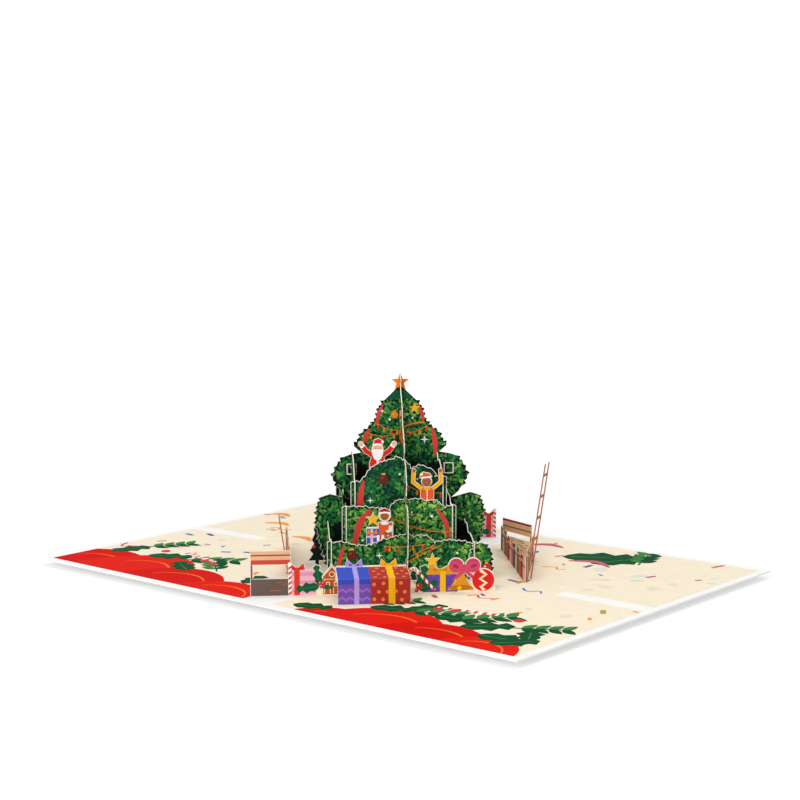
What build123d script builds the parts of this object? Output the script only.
from build123d import *
from math import cos, hypot, pi, radians, sin
import os

# Greeting card that opens flat, with a slotted paper fir tree, gifts and figures standing on it.
# Millimetres. The origin is under the middle of the open card, the spine runs along Y, Z is up.
# Every upright sheet stands at 45 degrees to the spine, so the crossing sheets shear flat when
# the card is closed. Sheets that face the front right corner are "face" sheets, the ones that
# cross them are "side" sheets.

# Card
page_width = 148.0
page_height = 210.0
card = 0.8
score_width = 1.2
score_depth = 0.3

# Paper of the upright sheets and the fit of their slots
paper = 0.45
slot_clearance = 0.1
tongue_width = 7.0
tongue_clearance = 0.15

# Leaf edge of the tree
leaf_pitch = 2.7
leaf_depth = 1.7
tier_leaf_depth = 0.9

# Tree outline, from the page up
tree_height = 96.1
star_radius = 4.95
star_inner = 0.42
star_overlap = 0.8
crown_inset = 0.3
crown_gap = 4.0
upper_lobe_past = 5.0
upper_lobe_high = 55.5
upper_lobe_low = 36.5
lower_lobe_past = 5.8
lobe_gap = 0.5
foot_past = 0.5
deep_notch = 8.0
shallow_notch = 2.4

# Tiers: distance of a wall from the tree's axis, how much nearer the right wall stands, height in
# the middle and at the corners
upper_tier_reach = 24.0
upper_tier_inset = 5.7
upper_tier_middle = 57.0
upper_tier_corner = 45.5
middle_tier_gap = 4.5
middle_tier_inset = 6.1
middle_tier_middle = 38.0
middle_tier_corner = 34.5
lower_tier_gap = 7.5
lower_tier_inset = 4.0
lower_tier_middle = 21.5
lower_tier_corner = 18.0
tier_ear = 2.0

# Tops of the tiers from right to left: share of the half width, share of the rise from the corner
upper_tier_top = (
    (1.0, 0.2), (0.82, 0.22), (0.73, 0.24), (0.7, 0.46), (0.55, 0.6), (0.38, 0.71), (0.26, 0.65),
    (0.15, 0.57), (0.08, 0.78), (-0.04, 0.95), (-0.13, 1.08), (-0.2, 1.0), (-0.34, 0.91),
    (-0.5, 0.8), (-0.64, 0.57), (-0.73, 0.29), (-0.83, 0.04), (-1.0, 0.02),
)
middle_tier_top = (
    (1.0, 0.0), (0.92, -0.03), (0.85, -0.03), (0.78, -0.26), (0.64, 0.57), (0.55, 0.83),
    (0.41, 0.71), (0.25, 1.0), (-0.12, 0.91), (-0.19, 0.46), (-0.26, -0.46), (-0.48, -0.14),
    (-0.66, 0.06), (-0.78, 0.06), (-1.0, 0.0),
)
lower_tier_top = (
    (1.0, 0.0), (0.92, -0.14), (0.77, 0.23), (0.56, 0.37), (0.39, 0.06), (0.3, 0.89), (0.18, 1.14),
    (0.09, 0.8), (0.02, 1.3), (-0.11, 1.05), (-0.32, 0.54), (-0.45, -0.11), (-0.63, -0.2),
    (-0.78, 0.29), (-1.0, 0.4),
)
middle_tier_reach = upper_tier_reach + middle_tier_gap
lower_tier_reach = middle_tier_reach + lower_tier_gap
upper_tier_right = upper_tier_reach - upper_tier_inset
middle_tier_right = middle_tier_reach - middle_tier_inset
lower_tier_right = lower_tier_reach - lower_tier_inset

# Flaps slit on three sides in the upper lobes
flap_width = 4.4
flap_height = 5.2
flap_low = 45.6
flap_slit = 0.35

# Bush beside the lower tier, fir behind the lower lobe and how far its middle is past the lobe
bush_in = 7.5
bush_out = 5.0
fir_out = -0.6
fir_height = 22.0
fir_width = 9.6
fir_trunk = 2.4

# Gift strips: their ends, then what stands on them and where, from the left
strip_reach = 61.7
strip_left = -57.0
strip_right = 38.6
strip_band = 2.6
cane_height = 15.5
cane_hook = 1.9
cane_width = 1.7
cane_turn = 42.0
gift_bow = 3.6
pink_gift_at = -50.4
pink_gift_width = 12.8
pink_gift_height = 12.2
pink_bow_at = -53.0
pink_bow_width = 7.8
holly_share = 0.52
berry_radius = 1.9
berry_offset = 0.9
left_holly_at = -42.5
left_holly_low = 4.2
left_holly_leaves = ((100, 10.5), (186, 11.5), (-8, 6.5))
house_at = -37.0
house_width = 10.4
house_height = 14.4
right_holly_at = 3.0
right_holly_low = 1.3
right_holly_leaves = ((75, 12.5), (25, 10.0))
fallen_cane_at = 10.5
purple_gift_at = 13.0
purple_gift_width = 17.0
purple_gift_height = 10.4
purple_bow_width = 11.9
small_star_at = 9.4
small_star_height = 15.0
small_star_radius = 3.9
bell_at = 22.5
bell_height = 10.5
ribbon_at = 24.3
ribbon_low = 5.0
ribbon_width = 14.5
ribbon_height = 11.5
bauble_radius = 5.6

# Folded gift boxes in front of the strips
box_depth = 19.4
box_left = -35.4
box_width = 33.0
box_height = 13.0
box_drop = 1.35
box_flap = 7.0
bow_width = 8.5
bow_height = 4.2

# Book rows, shelves and ladders
book_reach = 55.4
book_near = 45.8
book_far = -31.5
book_splay = 13.4
book_wing = 55.3
book_width = 6.0
book_height = 13.0
shelf_width = 18.5
shelf_lap = 1.2
shelf_gap = 1.3
shelf_height = 21.0
right_shelf_height = 16.8
shelf_band = 6.5
shelf_panel = 8.0
shelf_post = 1.2
ladder_width = 8.5
ladder_rail = 1.3
ladder_step = 5.2
ladder_lean = 8.5
ladder_gap = 0.1
ladder_turn = 10.0
right_ladder_at = 1.0
right_ladder_height = 57.0
left_ladder_at = 21.7
left_ladder_height = 29.0

# Figures: place along the wall, height of the hidden foot, height of the figure
red_suit_at = -13.0
red_suit_foot = 42.0
red_suit_height = 25.0
orange_vest_at = 10.4
orange_vest_foot = 27.0
orange_vest_height = 25.4
gift_bringer_at = -10.6
gift_bringer_foot = 9.0
gift_bringer_height = 26.4

along = Vector(1, 1, 0).normalized()
ahead = Vector(1, -1, 0).normalized()
page = Vector(0, 0, card)
tongue_places = []

os.makedirs("parts", exist_ok=True)


def save(piece, name):
    """Label a finished piece and write it."""
    piece.part.label = name
    export_step(piece.part, f"parts/{name}.step")


# Planes: local X runs along the sheet, local Y is up from the page


def face_plane(reach, turned=False):
    """Sheet that faces the front right corner, or its copy turned half round the tree."""
    side = -1 if turned else 1
    return Plane(page + ahead * (side * reach), x_dir=along * side, z_dir=ahead * side)


def side_plane(reach, turned=False):
    """Sheet that crosses the face sheets, on the right, or its turned copy on the left."""
    side = -1 if turned else 1
    return Plane(page + along * (side * reach), x_dir=ahead * side, z_dir=along * -side)


# Outlines


def leafy(guide, depth=leaf_depth):
    """Turn a run of guide points into a ragged edge of leaf tips that stand out to its right."""
    points = [guide[0]]
    count = 0
    for (x0, y0), (x1, y1) in zip(guide, guide[1:]):
        length = hypot(x1 - x0, y1 - y0)
        teeth = max(1, round(length / leaf_pitch))
        across = ((y1 - y0) / length, (x0 - x1) / length)
        for tooth in range(teeth):
            count += 1
            reach = depth * (0.72 + 0.28 * sin(2.4 * count))
            tip = (tooth + 0.5 + 0.26 * sin(1.7 * count)) / teeth
            dent = 0.3 * depth * sin(3.1 * count) if tooth + 1 < teeth else 0
            end = (tooth + 1) / teeth
            tip_x = x0 + (x1 - x0) * tip + across[0] * reach
            tip_y = y0 + (y1 - y0) * tip + across[1] * reach
            end_x = x0 + (x1 - x0) * end + across[0] * dent
            end_y = y0 + (y1 - y0) * end + across[1] * dent
            points.append((tip_x, tip_y))
            points.append((end_x, end_y))
    return points


def mirrored(right_side):
    """Close an outline by adding the mirror image of its right side, which runs upwards."""
    return right_side + [(-x, y) for x, y in reversed(right_side)]


def star_points(x, y, radius, tips=5):
    """Star with one tip straight up."""
    points = []
    for corner in range(2 * tips):
        reach = radius if corner % 2 == 0 else radius * star_inner
        angle = pi / 2 + corner * pi / tips
        points.append((x + reach * cos(angle), y + reach * sin(angle)))
    return points


def holly_points(x, y, length, width, turn):
    """Holly leaf from its stalk at x, y: three spikes on each side and one at the end."""
    side = []
    for spike in range(3):
        swell = sin(pi * (spike + 0.8) / 3.6)
        side.append(((spike + 0.25) / 3.2 * length, 0.32 * width * swell))
        side.append(((spike + 0.75) / 3.2 * length, 0.5 * width * (0.35 + 0.65 * swell)))
    outline = [(0, 0)] + side + [(length, 0)] + [(a, -b) for a, b in reversed(side)]
    c, s = cos(radians(turn)), sin(radians(turn))
    return [(x + a * c - b * s, y + a * s + b * c) for a, b in outline]


def fill(points):
    """Filled straight-sided outline in the sketch that is open."""
    with BuildLine() as outline:
        Polyline(*points, close=True)
    make_face(outline.edges())


def block(x, y, width, height):
    """Upright rectangle standing at height y, centred on x."""
    with Locations((x, y)):
        Rectangle(width, height, align=(Align.CENTER, Align.MIN))


def disc(x, y, radius):
    with Locations((x, y)):
        Circle(radius)


def limb(points, width):
    """Band of even width along straight runs, such as an arm."""
    with BuildLine() as run:
        Polyline(*points)
    trace(run.edges(), line_width=width)


def bow(x, y, width, height):
    """Two loops of a tied ribbon with a knot between them."""
    half = width / 2
    fill([(x, y), (x + half, y), (x + 0.8 * half, y + height), (x, y + 0.25 * height)])
    fill([(x, y), (x, y + 0.25 * height), (x - 0.8 * half, y + height), (x - half, y)])


def cane(x, y, height, hook, width, turn=0.0):
    """Walking-stick sweet with its hook to the left of the stick."""
    stick_top = height - hook - width / 2
    with BuildLine(Plane((x, y, 0)).rotated((0, 0, turn))) as path:
        Line((0, 0), (0, stick_top))
        CenterArc((-hook, stick_top), hook, 0, 160)
    trace(path.edges(), line_width=width)


# Sheets: what each outline is cut with


def cut_slots(slots):
    """Slots for the sheets that cross: place along the sheet, low and high end, sheets held."""
    for place, low, high, sheets in slots:
        width = sheets * paper + 2 * slot_clearance
        with Locations((place + (sheets - 1) * paper / 2, low)):
            Rectangle(width, high - low, align=(Align.CENTER, Align.MIN), mode=Mode.SUBTRACT)


def add_tongues(plane, places):
    """Tongues that go down through slits in the card, flush with its underside."""
    for place in places:
        with Locations((place, 0)):
            Rectangle(tongue_width, card, align=(Align.CENTER, Align.MAX))
        tongue_places.append((plane, place))


def make_sheet(name, plane, draw, slots=(), tongues=()):
    """Flat upright sheet: draw fills its outline in the sketch on the plane."""
    with BuildPart() as sheet:
        with BuildSketch(plane):
            draw()
            add_tongues(plane, tongues)
            cut_slots(slots)
        extrude(amount=paper / 2, both=True)
    save(sheet, name)


# Tree panels: two like outlines that cross on the tree's axis in a half lap

tiers = [
    (
        "upper_tier",
        upper_tier_reach,
        upper_tier_right,
        upper_tier_middle,
        upper_tier_corner,
        upper_tier_top,
    ),
    (
        "middle_tier",
        middle_tier_reach,
        middle_tier_right,
        middle_tier_middle,
        middle_tier_corner,
        middle_tier_top,
    ),
    (
        "lower_tier",
        lower_tier_reach,
        lower_tier_right,
        lower_tier_middle,
        lower_tier_corner,
        lower_tier_top,
    ),
]
open_top = tree_height + star_radius
star_height = tree_height - star_radius
crown_top = star_height - star_overlap * star_radius
crown_low = upper_lobe_high + crown_gap
lower_lobe_high = upper_lobe_low - lobe_gap


def tree_outline(notch_depth):
    """Crown, upper lobe and lower lobe, with a notch of the given depth between the lobes."""
    crown = upper_tier_reach - crown_inset
    crown_rise = crown_top - crown_low
    upper = middle_tier_reach + upper_lobe_past
    upper_rise = upper_lobe_high - upper_lobe_low
    lower = lower_tier_reach + lower_lobe_past
    notch_end = upper - notch_depth
    lower_edge = leafy([
        (lower_tier_reach + foot_past, 0),
        (0.9 * lower, 0.14 * lower_lobe_high),
        (0.955 * lower, 0.36 * lower_lobe_high),
        (lower, 0.64 * lower_lobe_high),
        (0.98 * lower, 0.84 * lower_lobe_high),
        (0.915 * lower, 0.97 * lower_lobe_high),
    ])
    notch = [
        (0.83 * lower, lower_lobe_high),
        (notch_end, upper_lobe_low - 6 * lobe_gap),
        (0.865 * upper, upper_lobe_low),
    ]
    upper_edge = leafy([
        (0.91 * upper, upper_lobe_low + 0.13 * upper_rise),
        (upper, upper_lobe_low + 0.42 * upper_rise),
        (0.94 * upper, upper_lobe_high - 0.29 * upper_rise),
        (0.82 * upper, upper_lobe_high - 0.05 * upper_rise),
    ])
    shoulder = [
        (upper_tier_reach + 4 * crown_inset, upper_lobe_high),
        (0.82 * crown, upper_lobe_high + 0.25 * crown_gap),
    ]
    crown_edge = leafy([
        (0.965 * crown, crown_low),
        (0.79 * crown, crown_low + 0.25 * crown_rise),
        (0.6 * crown, crown_low + 0.38 * crown_rise),
        (0.5 * crown, crown_low + 0.52 * crown_rise),
        (0.45 * crown, crown_low + 0.69 * crown_rise),
        (0.34 * crown, crown_low + 0.82 * crown_rise),
    ])
    cap = [(0.12 * crown, crown_top), (0.06 * crown, star_height)]
    return lower_edge + notch + upper_edge + shoulder + crown_edge + cap


def draw_tree(notch_depth):
    fill(mirrored(tree_outline(notch_depth)))
    fill(star_points(0, star_height, star_radius))


def cut_flaps():
    """Small square flaps in the upper lobes, slit on three sides and hinged at the top."""
    for side in (-1, 1):
        middle = side * upper_tier_reach
        slits = [
            (middle, flap_low, flap_width, flap_slit),
            (middle - flap_width / 2, flap_low, flap_slit, flap_height),
            (middle + flap_width / 2, flap_low, flap_slit, flap_height),
        ]
        for x, y, width, height in slits:
            with Locations((x, y)):
                Rectangle(width, height, align=(Align.CENTER, Align.MIN), mode=Mode.SUBTRACT)


def draw_face_tree():
    draw_tree(deep_notch)
    cut_flaps()


face_tree_slots = [(0, 0, tree_height / 2, 1)]
side_tree_slots = [(0, tree_height / 2, open_top, 1)]
for tier_name, reach, right, middle, corner, top in tiers:
    for place in (-reach, right):
        face_tree_slots.append((place, 0, middle / 2, 1))
    for place in (-reach, reach):
        side_tree_slots.append((place, middle / 2, crown_low, 1))

make_sheet("tree_panel_face", face_plane(0), draw_face_tree, face_tree_slots)
make_sheet("tree_panel_side", side_plane(0), lambda: draw_tree(shallow_notch), side_tree_slots)

# Tiers: sleeves of four walls, lapped at their corners and on the tree panels


def tier_outline(left, right, middle, corner, top):
    """Wall with a leafy top, past the walls that cross it on its left and on its right."""
    left_end = left + tier_ear
    right_end = right + tier_ear
    guide = []
    for a, b in top:
        end = right_end if a > 0 else left_end
        guide.append((a * end, corner + b * (middle - corner)))
    return [(right_end, 0)] + leafy(guide, tier_leaf_depth) + [(-left_end, 0)]


for tier_name, reach, right, middle, corner, top in tiers:
    rise = (middle, corner, top)
    front_outline = tier_outline(reach, right, *rise)
    back_outline = tier_outline(right, reach, *rise)
    side_outline = tier_outline(reach, reach, *rise)
    middle_lap = middle / 2
    corner_lap = corner / 2
    above = middle + 4 * leaf_depth
    lowest = reach == lower_tier_reach
    tongues = (-reach / 2, reach / 2) if lowest else ()
    front_sheets = 2 if lowest else 1
    tree_slot = (0, 0, middle_lap, 1)
    front_slots = [tree_slot, (-reach, 0, corner_lap, 1), (right, 0, corner_lap, 1)]
    back_slots = [tree_slot, (-right, 0, corner_lap, 1), (reach, 0, corner_lap, 1)]
    shared_slots = [(0, middle_lap, above, 1), (-reach, corner_lap, above, 1)]
    right_slots = shared_slots + [(reach, corner_lap, above, front_sheets)]
    left_slots = shared_slots + [(reach, corner_lap, above, 1)]
    front_plane = face_plane(reach)
    back_plane = face_plane(reach, True)
    draw_side = lambda: fill(side_outline)
    make_sheet(f"{tier_name}_front", front_plane, lambda: fill(front_outline), front_slots, tongues)
    make_sheet(f"{tier_name}_back", back_plane, lambda: fill(back_outline), back_slots, tongues)
    make_sheet(f"{tier_name}_right", side_plane(right), draw_side, right_slots, tongues)
    make_sheet(f"{tier_name}_left", side_plane(reach, True), draw_side, left_slots, tongues)

# Bush glued flat on the front of the lower tier, past its corner, and fir glued behind a lower lobe


def draw_bush():
    """Low round bush with a leafy edge."""
    left = lower_tier_reach - bush_in
    right = lower_tier_reach + bush_out
    width = right - left
    top = lower_tier_corner
    fill([(left, 0), (right - 0.08 * width, 0)] + leafy([
        (right, 0.22 * top),
        (right - 0.04 * width, 0.75 * top),
        (right - 0.32 * width, 0.97 * top),
        (left + 0.36 * width, 0.97 * top),
        (left + 0.08 * width, 0.6 * top),
    ]))


def draw_fir():
    """Small fir of four boughs."""
    half = fir_width / 2
    right = [(fir_trunk / 2, 0), (fir_trunk / 2, 0.11 * fir_height)]
    for bough in range(4):
        low = (0.11 + 0.24 * bough) * fir_height
        right.append(((1 - 0.2 * bough) * half, low))
        right.append(((0.48 - 0.11 * bough) * half, low + 0.16 * fir_height))
    middle = lower_tier_reach + lower_lobe_past + fir_out
    fill([(middle + x, y) for x, y in mirrored(right)])


corner_slot = [(lower_tier_right, 0, lower_tier_corner / 2, 1)]
make_sheet("bush_front", face_plane(lower_tier_reach + paper), draw_bush, corner_slot)
make_sheet("fir_back", face_plane(paper, True), draw_fir)

# Gift strips: one die-cut row each of parcels, ornaments, sweets and holly


def draw_wrapped_gift(x, width, height, bow_at, bow_across):
    block(x, 0, width, height)
    bow(bow_at, height - 0.1 * gift_bow, bow_across, gift_bow)


def draw_house(x, width, height):
    """Gingerbread house with a steep roof and a chimney."""
    half = width / 2
    wall = 0.85 * half
    eaves = 0.56 * height
    fill([
        (x - wall, 0),
        (x + wall, 0),
        (x + wall, eaves),
        (x + half, eaves),
        (x, height),
        (x - half, eaves),
        (x - wall, eaves),
    ])
    block(x + 0.5 * half, 0.62 * height, 0.16 * width, 0.32 * height)


def draw_bell(x, height):
    """Bell with a flared mouth."""
    half = 0.62 * height
    top = 0.12 * height
    low = 0.06 * height
    lip = 0.17 * height
    with BuildLine() as outline:
        Line((x - half, low), (x + half, low))
        Line((x + half, low), (x + half, lip))
        ThreePointArc((x + half, lip), (x + 0.5 * half, 0.5 * height), (x + top, height))
        Line((x + top, height), (x - top, height))
        ThreePointArc((x - top, height), (x - 0.5 * half, 0.5 * height), (x - half, lip))
        Line((x - half, lip), (x - half, low))
    make_face(outline.edges())


def draw_ribbon_bow(x, y, width, height):
    """Large round-looped bow with two tails."""
    loop = 0.26 * width
    for side in (-1, 1):
        disc(x + side * 0.27 * width, y + 0.66 * height, loop)
        fill([
            (x, y + 0.65 * height),
            (x + side * 0.5 * width, y),
            (x + side * 0.24 * width, y + 0.08 * height),
            (x - side * 0.1 * width, y + 0.45 * height),
        ][::side])


def draw_holly(x, y, leaves):
    """Holly leaves from one stalk, each with its turn and its length."""
    for turn, length in leaves:
        fill(holly_points(x, y, length, holly_share * length, turn))


def draw_gift_strip():
    middle = (strip_left + strip_right) / 2
    block(middle, 0, strip_right - strip_left, strip_band)
    block(strip_left + cane_width / 2, 0, cane_width, cane_height)
    draw_wrapped_gift(pink_gift_at, pink_gift_width, pink_gift_height, pink_bow_at, pink_bow_width)
    draw_holly(left_holly_at, left_holly_low, left_holly_leaves)
    disc(left_holly_at + berry_offset, left_holly_low + berry_offset, berry_radius)
    draw_house(house_at, house_width, house_height)
    for share in (0.26, 0.74):
        block(box_left + share * box_width, 0, 0.48 * box_width, box_height + paper)
    draw_holly(right_holly_at, right_holly_low, right_holly_leaves)
    cane(fallen_cane_at, strip_band / 2, cane_height, cane_hook, cane_width, cane_turn)
    draw_wrapped_gift(
        purple_gift_at,
        purple_gift_width,
        purple_gift_height,
        purple_gift_at,
        purple_bow_width,
    )
    fill(star_points(small_star_at, small_star_height, small_star_radius))
    draw_bell(bell_at, bell_height)
    draw_ribbon_bow(ribbon_at, ribbon_low, ribbon_width, ribbon_height)
    disc(strip_right - bauble_radius, bauble_radius, bauble_radius)


strip_tongues = (
    strip_left + tongue_width,
    (strip_left + strip_right) / 2,
    strip_right - 2 * tongue_width,
)
make_sheet("gift_strip_front", face_plane(strip_reach), draw_gift_strip, (), strip_tongues)
make_sheet("gift_strip_back", face_plane(strip_reach, True), draw_gift_strip, (), strip_tongues)

# Gift boxes: one sheet folded down in front, with a lid that falls to the front and is glued by a
# flap to the strip


def make_gift_box(name, turned):
    flap_plane = face_plane(strip_reach + paper, turned)
    front_plane = face_plane(strip_reach + box_depth, turned)
    lid_run = flap_plane.z_dir * (box_depth - paper) - Vector(0, 0, box_drop)
    lid_plane = Plane(
        flap_plane.origin + Vector(0, 0, box_height),
        x_dir=flap_plane.x_dir,
        z_dir=flap_plane.x_dir.cross(lid_run),
    )
    box_middle = box_left + box_width / 2
    with BuildPart() as gift_box:
        with BuildSketch(flap_plane):
            block(box_middle, box_height - box_flap, box_width, box_flap)
            for share in (0.26, 0.74):
                bow(box_left + share * box_width, box_height - paper, bow_width, bow_height)
        extrude(amount=paper / 2, both=True)
        with BuildSketch(lid_plane):
            with Locations((box_middle, 0)):
                Rectangle(box_width, lid_run.length + paper / 2, align=(Align.CENTER, Align.MIN))
        extrude(amount=paper)
        with BuildSketch(front_plane):
            block(box_middle, 0, box_width, box_height - box_drop)
        extrude(amount=paper / 2, both=True)
    save(gift_box, name)


make_gift_box("gift_box_front", False)
make_gift_box("gift_box_back", True)

# Book rows, shelves and ladders beside the tree

book_shares = (0.96, 0.85, 1.0, 0.81, 0.92, 0.73, 0.88)


def draw_books(start, length):
    """Row of upright book backs of uneven height."""
    count = round(length / book_width)
    width = length / count
    for book in range(count):
        height = book_height * book_shares[book % len(book_shares)]
        block(start + (book + 0.5) * width, 0, width, height)


row_length = book_near - book_far
right_row = side_plane(book_reach)
left_row = side_plane(book_reach, True)
wing_turn = 180 - book_splay
wing_origin = right_row.origin + right_row.x_dir * book_near
wing_dir = right_row.x_dir.rotate(Axis.Z, wing_turn)
wing_plane = Plane(wing_origin, x_dir=wing_dir, z_dir=wing_dir.cross(Vector(0, 0, 1)))
row_tongues = (book_far + 0.25 * row_length, book_far + 0.7 * row_length)

with BuildPart() as right_books:
    with BuildSketch(right_row):
        draw_books(book_far, row_length)
        add_tongues(right_row, row_tongues)
    extrude(amount=paper / 2, both=True)
    with BuildSketch(wing_plane):
        draw_books(0, book_wing)
    extrude(amount=paper / 2, both=True)
save(right_books, "book_row_right")

make_sheet("book_row_left", left_row, lambda: draw_books(book_far, row_length), (), row_tongues)


def draw_shelf(left, width, height):
    """Frame with a stack of books across its top, an open window and a plain lower panel."""
    block(left + width / 2, 0, width, height)
    window = height - shelf_band - shelf_panel
    with Locations((left + width / 2, shelf_panel)):
        Rectangle(
            width - 2 * shelf_post,
            window,
            align=(Align.CENTER, Align.MIN),
            mode=Mode.SUBTRACT,
        )


shelf_left_end = strip_left + shelf_lap - shelf_width
make_sheet(
    "shelf_left",
    face_plane(strip_reach - paper),
    lambda: draw_shelf(shelf_left_end, shelf_width, shelf_height),
)

row_end = right_row.origin + right_row.x_dir * book_far
wing_end = wing_origin + wing_dir * book_wing
shelf_dir = (wing_end - row_end).normalized()
shelf_span = (wing_end - row_end).length
shelf_plane = Plane(row_end, x_dir=shelf_dir, z_dir=shelf_dir.cross(Vector(0, 0, 1)))
make_sheet(
    "shelf_right",
    shelf_plane,
    lambda: draw_shelf(shelf_gap, shelf_span - 2 * shelf_gap, right_shelf_height),
)


def make_ladder(name, foot, direction, outward, height):
    """Two rails and their rungs, cut from one sheet, leaning outward from its foot."""
    lean = ladder_lean * height / right_ladder_height
    up = (Vector(0, 0, height) + outward * lean).normalized()
    plane = Plane(foot, x_dir=direction, z_dir=direction.cross(up))
    length = height / up.Z
    steps = int(length / ladder_step)
    with BuildPart() as ladder:
        with BuildSketch(plane):
            block(ladder_width / 2, 0, ladder_width, length)
            for step in range(steps):
                with Locations((ladder_width / 2, (step + 0.5) * ladder_step)):
                    Rectangle(
                        ladder_width - 2 * ladder_rail,
                        ladder_step - ladder_rail,
                        mode=Mode.SUBTRACT,
                    )
        extrude(amount=paper / 2, both=True)
        split(bisect_by=Plane.XY.offset(card), keep=Keep.TOP)
    save(ladder, name)


wing_outward = wing_plane.z_dir if wing_plane.z_dir.dot(along) > 0 else wing_plane.z_dir * -1
right_foot = wing_origin + wing_dir * right_ladder_at + wing_outward * (paper + ladder_gap)
turn = radians(ladder_turn)
right_dir = wing_dir * cos(turn) + wing_outward * sin(turn)
make_ladder("ladder_right", right_foot, right_dir, wing_outward, right_ladder_height)
left_foot = left_row.origin - left_row.x_dir * left_ladder_at - along * (paper + ladder_gap)
make_ladder("ladder_left", left_foot, left_row.x_dir, along * -1, left_ladder_height)

# Figures glued behind the front walls, so that they look out over the tiers


def on_figure(x, foot, height, shares):
    """Points given as shares of the figure's height, from its foot."""
    return [(x + a * height, foot + b * height) for a, b in shares]


def raised_arms(x, foot, height, shares, width):
    """Both arms, given by the right one, with a round hand at each end."""
    for side in (-1, 1):
        arm = on_figure(x, foot, height, [(side * a, b) for a, b in shares])
        limb(arm, width * height)
        disc(*arm[-1], 0.55 * width * height)


def draw_red_suit(x, foot, height):
    """Bearded figure with both arms raised."""
    body = [(-0.17, 0), (0.17, 0), (0.16, 0.52), (0.1, 0.7), (-0.1, 0.7), (-0.16, 0.52)]
    hat = [(-0.095, 0.86), (0.095, 0.86), (0.125, 0.935), (0.015, 1.0), (-0.07, 0.965)]
    fill(on_figure(x, foot, height, body))
    raised_arms(x, foot, height, [(0.09, 0.665), (0.22, 0.745), (0.32, 0.885)], 0.1)
    disc(x, foot + 0.78 * height, 0.115 * height)
    fill(on_figure(x, foot, height, hat))


def draw_orange_vest(x, foot, height):
    """Young figure with both arms raised."""
    body = [(-0.135, 0), (0.135, 0), (0.13, 0.66), (-0.13, 0.66)]
    hat = [(-0.145, 0.82), (0.1, 0.845), (0.055, 0.92), (-0.07, 0.95), (-0.135, 0.905)]
    fill(on_figure(x, foot, height, body))
    raised_arms(x, foot, height, [(0.095, 0.62), (0.265, 0.755), (0.25, 0.97)], 0.08)
    disc(x - 0.01 * height, foot + 0.765 * height, 0.106 * height)
    fill(on_figure(x, foot, height, hat))


def draw_gift_bringer(x, foot, height):
    """Small figure with an armful of parcels and a star."""
    hat = [(-0.11, 0.89), (0.11, 0.89), (0.11, 0.945), (0, 1.0), (-0.1, 0.96)]
    block(x + 0.015 * height, foot, 0.28 * height, 0.74 * height)
    block(x - 0.21 * height, foot, 0.24 * height, 0.65 * height)
    disc(x, foot + 0.855 * height, 0.113 * height)
    fill(on_figure(x, foot, height, hat))
    fill(star_points(x - 0.21 * height, foot + 0.79 * height, 0.145 * height))


make_sheet(
    "figure_red_suit",
    face_plane(upper_tier_reach - paper),
    lambda: draw_red_suit(red_suit_at, red_suit_foot, red_suit_height),
)
make_sheet(
    "figure_orange_vest",
    face_plane(middle_tier_reach - paper),
    lambda: draw_orange_vest(orange_vest_at, orange_vest_foot, orange_vest_height),
)
make_sheet(
    "figure_gift_bringer",
    face_plane(lower_tier_reach - paper),
    lambda: draw_gift_bringer(gift_bringer_at, gift_bringer_foot, gift_bringer_height),
)

# Card: one sheet, scored along the spine and slit for the tongues

with BuildPart() as card_base:
    with BuildSketch(Plane.XY):
        Rectangle(2 * page_width, page_height)
    extrude(amount=card)
    with BuildSketch(Plane.XZ.offset(-page_height / 2)):
        fill([(-score_width / 2, card), (0, card - score_depth), (score_width / 2, card)])
    extrude(amount=page_height, mode=Mode.SUBTRACT)
    for plane, place in tongue_places:
        slit = Plane(plane.origin + plane.x_dir * place - page, x_dir=plane.x_dir, z_dir=(0, 0, 1))
        with BuildSketch(slit):
            Rectangle(tongue_width + 2 * tongue_clearance, paper + 2 * tongue_clearance)
        extrude(amount=card, mode=Mode.SUBTRACT)
save(card_base, "card_base")
